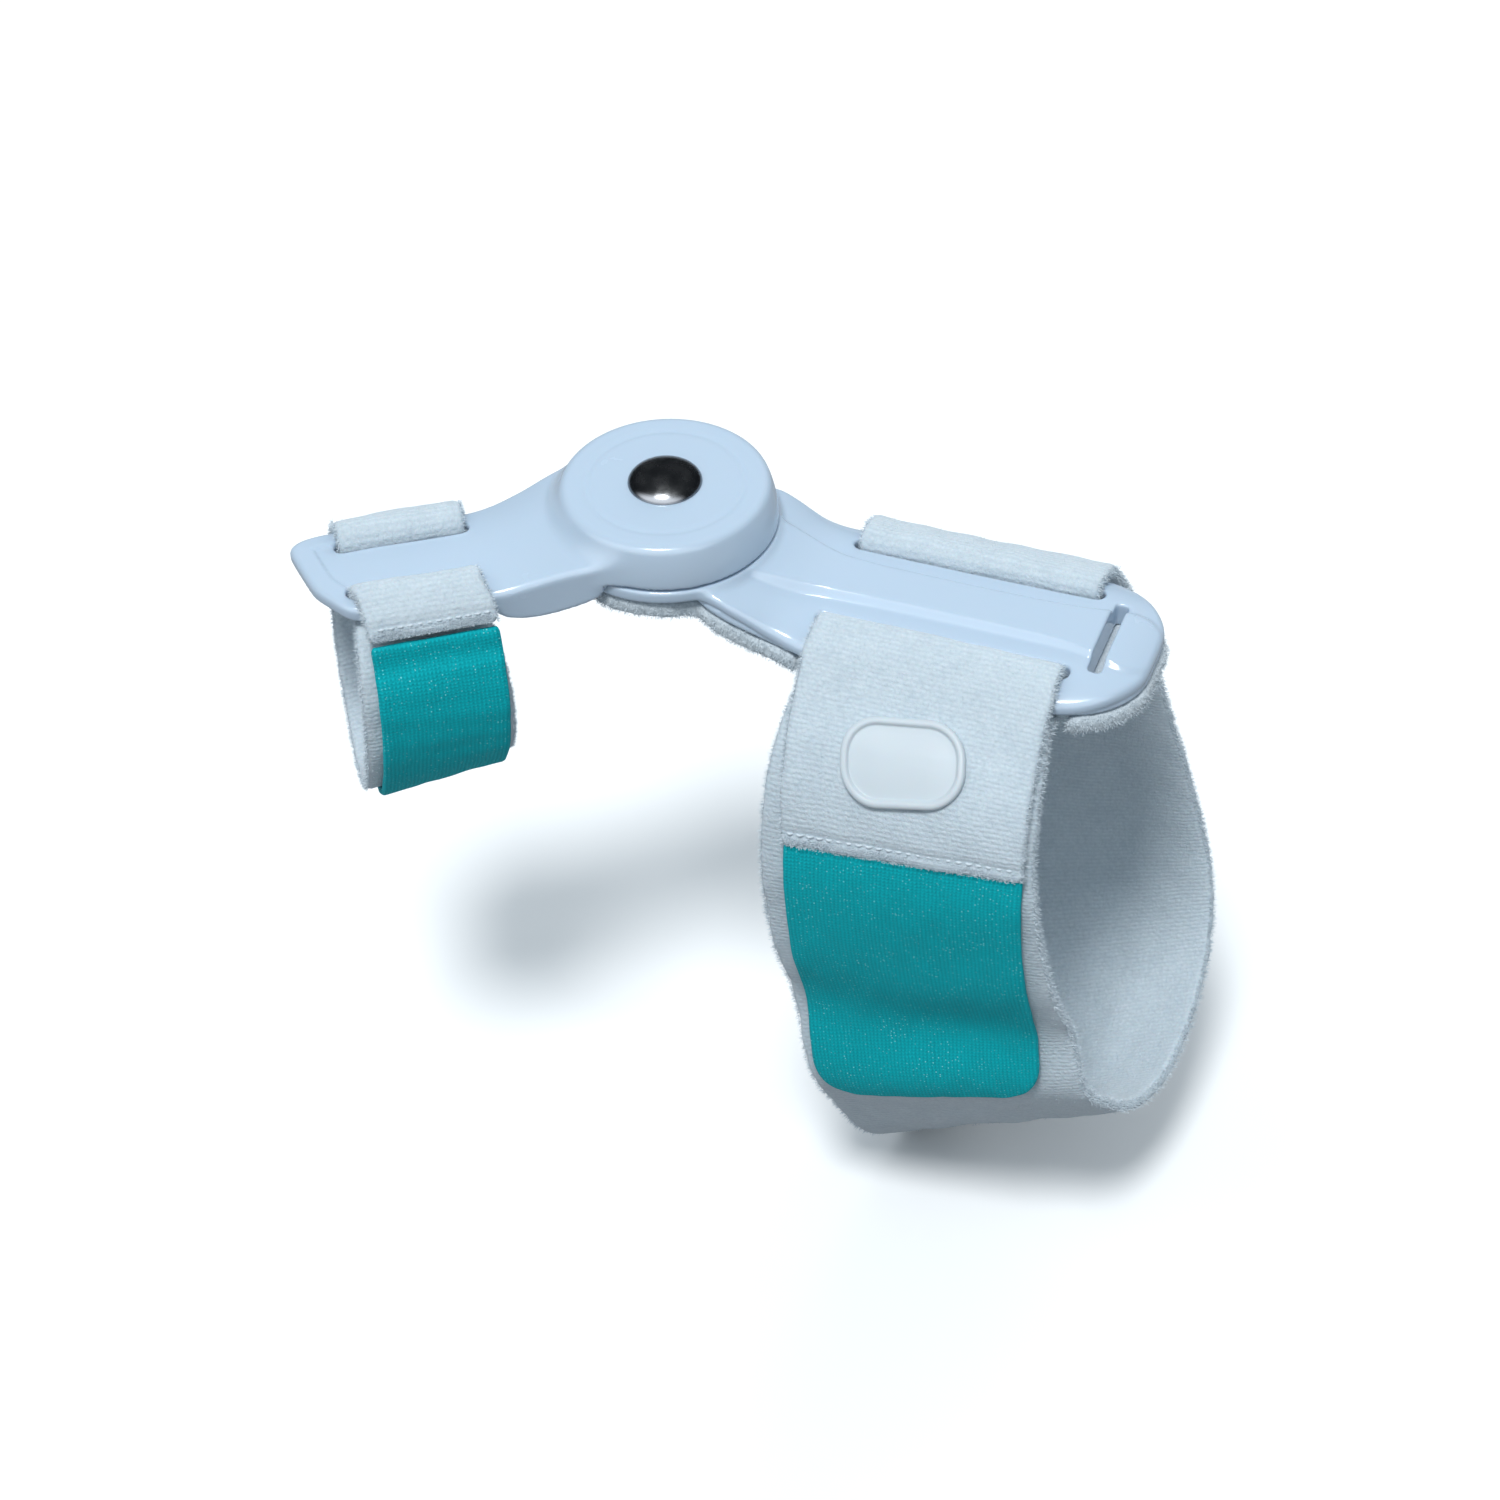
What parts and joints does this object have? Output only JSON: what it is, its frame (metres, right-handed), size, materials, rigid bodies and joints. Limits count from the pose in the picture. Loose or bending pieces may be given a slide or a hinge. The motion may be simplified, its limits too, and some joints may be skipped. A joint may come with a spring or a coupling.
{
  "type": "bunion corrector",
  "caption": "Hinged two-arm toe splint with a riveted hub, a foam pad, a toe strap and a wide foot strap with hook tabs.",
  "frame": {"origin": "centre of the pad's inner face, the face that rests against the side of the foot", "axes": "+X along the foot arm away from the hinge, +Z out of the plate on its hub side, +Y towards the sole side and -Y towards the instep side with the hook tabs"},
  "size_m": [0.1317, 0.067, 0.119],
  "materials": {
    "arm_plastic": "glossy bluish-white moulded plastic",
    "rivet_steel": "polished",
    "pad_fleece": "white fleece-faced foam",
    "strap_fabric": "off-white brushed loop fabric",
    "tab_fabric": "turquoise knit hook tab",
    "badge_vinyl": "soft vinyl, left bare"
  },
  "bodies": {
    "foot_side": {"foot_arm": "arm_plastic", "foot_pad": "pad_fleece", "rivet": "rivet_steel", "foot_strap": "strap_fabric", "foot_strap_tab": "tab_fabric", "badge": "badge_vinyl"},
    "toe_side": {"toe_arm": "arm_plastic", "toe_strap": "strap_fabric", "toe_strap_tab": "tab_fabric"}
  },
  "joints": [
    {"name": "toe_arm_hinge", "type": "hinge", "parent": "foot_side", "child": "toe_side", "pos_m": [-0.0451, 0, 0.0189], "axis": [0, 0, 1], "range_deg": [-33.6, 25]}
  ]
}
